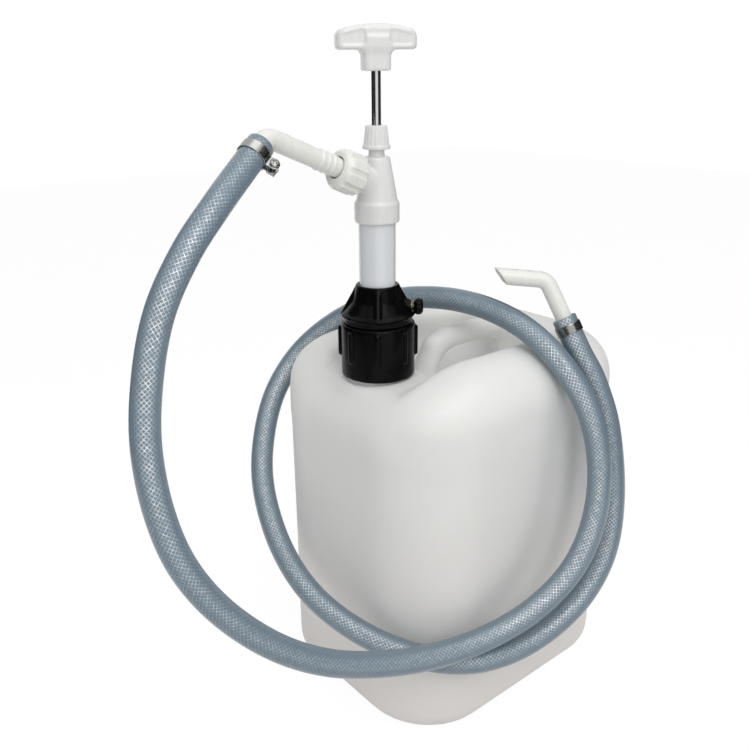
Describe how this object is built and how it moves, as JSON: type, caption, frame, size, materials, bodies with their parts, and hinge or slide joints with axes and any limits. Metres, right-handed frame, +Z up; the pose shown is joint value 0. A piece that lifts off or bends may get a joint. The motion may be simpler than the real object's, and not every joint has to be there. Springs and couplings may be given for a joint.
{
  "type": "canister hand pump",
  "caption": "Upright piston hand pump screwed on the neck of a plastic canister, with a T-handle, a side outlet and a braided hose that ends in a bent spout.",
  "frame": {"origin": "centre of the canister's base, on the floor", "axes": "+Z up, along the pump; +X along the canister's carrying handle, away from the neck; +Y across the canister, away from the side where the hose ends"},
  "size_m": [0.4991, 0.328, 0.6275],
  "materials": {
    "canister_plastic": "translucent natural polyethylene, soft sheen",
    "white_plastic": "moulded, glossy",
    "tube_plastic": "extruded, glossy, slightly translucent",
    "ivory_plastic": "moulded, glossy",
    "black_plastic": "moulded, glossy",
    "hose_vinyl": "clear blue-grey with a fine white braid inside",
    "clamp_steel": "plated, bright",
    "steel": "turned",
    "polished_steel": "polished",
    "brass": "turned",
    "seal": "matt",
    "packing": "matt"
  },
  "bodies": {
    "canister": {"canister": "canister_plastic", "neck_gasket": "seal"},
    "adapter": {"adapter_cone": "black_plastic", "clamp_insert": "brass"},
    "ring": {"screw_ring": "black_plastic"},
    "clamp_screw_stud": {"clamp_stud": "steel"},
    "clamp_knob": {"clamp_knob": "black_plastic"},
    "pump": {"pump_tube": "tube_plastic", "pump_head": "white_plastic", "tube_seal": "seal", "gland_packing": "packing", "foot_seat": "white_plastic", "foot_cage": "white_plastic", "inlet_strainer": "white_plastic", "outlet_gasket": "seal", "outlet_elbow": "ivory_plastic", "hose": "hose_vinyl", "clamp_band": "clamp_steel", "clamp_screw": "clamp_steel", "clamp_lock_nut": "clamp_steel", "nozzle_band": "clamp_steel", "nozzle_screw": "clamp_steel", "nozzle_lock_nut": "clamp_steel", "nozzle": "ivory_plastic"},
    "gland_nut": {"gland_nut": "white_plastic"},
    "outlet_nut": {"outlet_nut": "ivory_plastic"},
    "piston_ring": {"piston_seal": "seal"},
    "rod": {"piston_rod": "polished_steel", "t_handle": "white_plastic", "handle_insert": "brass", "piston_body": "white_plastic", "piston_cap": "white_plastic", "rod_nut": "steel"},
    "piston_ball": {"piston_ball": "steel"},
    "foot_ball": {"foot_ball": "steel"}
  },
  "joints": [
    {"name": "adapter_lift", "type": "slide", "parent": "canister", "child": "adapter", "axis": [0, 0, 1], "range_m": [0, 0.009]},
    {"name": "ring_turn", "type": "hinge", "parent": "adapter", "child": "ring", "pos_m": [-0.093, 0, 0.36], "axis": [0, 0, 1], "range_deg": [0, 540]},
    {"name": "clamp_travel", "type": "slide", "parent": "adapter", "child": "clamp_screw_stud", "axis": [0.766, -0.6428, 0], "range_m": [0, 0.0015]},
    {"name": "clamp_turn", "type": "hinge", "parent": "clamp_screw_stud", "child": "clamp_knob", "pos_m": [-0.06542, -0.02314, 0.3947], "axis": [0.766, -0.6428, 0], "range_deg": [0, 540]},
    {"name": "tube_height", "type": "slide", "parent": "adapter", "child": "pump", "axis": [0, 0, 1], "range_m": [0, 0.08]},
    {"name": "gland_turn", "type": "hinge", "parent": "pump", "child": "gland_nut", "pos_m": [-0.093, 0, 0.54], "axis": [0, 0, 1], "continuous": true},
    {"name": "union_turn", "type": "hinge", "parent": "pump", "child": "outlet_nut", "pos_m": [-0.12522, 0, 0.51518], "axis": [-0.9205, 0, 0.3907], "continuous": true},
    {"name": "pump_stroke", "type": "slide", "parent": "pump", "child": "piston_ring", "axis": [0, 0, 1], "range_m": [-0.04, 0.2]},
    {"name": "handle_turn", "type": "hinge", "parent": "piston_ring", "child": "rod", "pos_m": [-0.093, 0, 0.6], "axis": [0, 0, 1], "continuous": true},
    {"name": "piston_valve", "type": "slide", "parent": "rod", "child": "piston_ball", "axis": [0, 0, 1], "range_m": [0, 0.004]},
    {"name": "foot_valve", "type": "slide", "parent": "pump", "child": "foot_ball", "axis": [0, 0, 1], "range_m": [0, 0.004]}
  ],
  "couplings": [
    {"joint": "ring_turn", "follows": "adapter_lift", "rad_per_m": 1047.2},
    {"joint": "clamp_turn", "follows": "clamp_travel", "rad_per_m": 6283.2}
  ]
}
